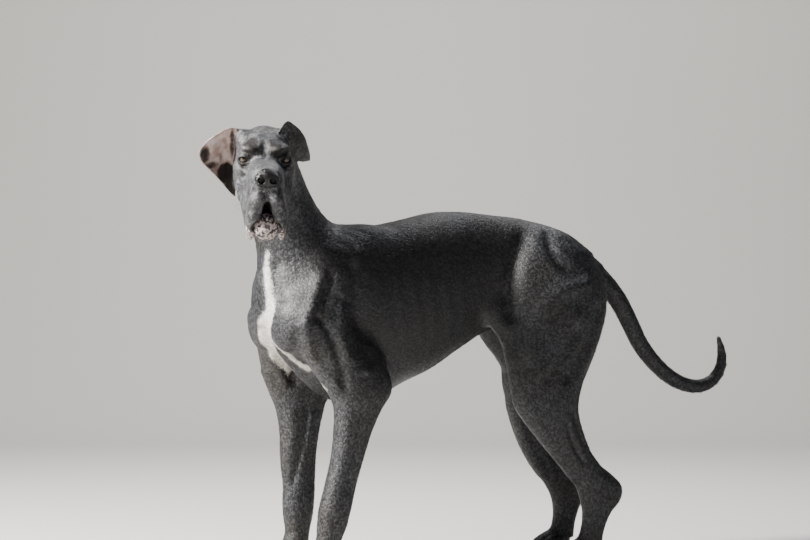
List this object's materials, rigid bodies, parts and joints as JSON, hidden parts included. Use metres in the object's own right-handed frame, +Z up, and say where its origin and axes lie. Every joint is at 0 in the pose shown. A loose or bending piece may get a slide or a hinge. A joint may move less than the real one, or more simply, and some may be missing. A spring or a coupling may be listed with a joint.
{
  "type": "great dane",
  "caption": "Life-size standing great dane with a steel-grey coat, its head turned to its left, the right ear held out and the tail curved up at its tip.",
  "frame": {"origin": "centre of the bounding box on the floor, under the soles", "axes": "+X towards the chest, +Y to the dog's left, +Z up"},
  "size_m": [1.4508, 0.4664, 1.0645],
  "materials": {
    "coat": "short glossy coat, steel blue-grey",
    "nose": "moist black nose leather",
    "eye": "wet, pale amber iris",
    "claw": "dark horn"
  },
  "bodies": {
    "root": {"claw_left_fore_a": "claw", "claw_left_fore_b": "claw", "claw_left_fore_c": "claw", "claw_left_fore_d": "claw", "claw_left_hind_a": "claw", "claw_left_hind_b": "claw", "claw_left_hind_c": "claw", "claw_left_hind_d": "claw", "claw_right_fore_a": "claw", "claw_right_fore_b": "claw", "claw_right_fore_c": "claw", "claw_right_fore_d": "claw", "claw_right_hind_a": "claw", "claw_right_hind_b": "claw", "claw_right_hind_c": "claw", "claw_right_hind_d": "claw", "ear_left": "coat", "ear_right": "coat", "eye_left": "eye", "eye_right": "eye", "foreleg_left": "coat", "foreleg_right": "coat", "forepaw_left": "coat", "forepaw_right": "coat", "head": "coat", "hindpaw_left": "coat", "hindpaw_right": "coat", "hock_left": "coat", "hock_right": "coat", "jaw": "coat", "neck": "coat", "nose": "nose", "shank_left": "coat", "shank_right": "coat", "tail_middle": "coat", "tail_root": "coat", "tail_tip": "coat", "thigh_left": "coat", "thigh_right": "coat", "torso": "coat"}
  },
  "joints": []
}
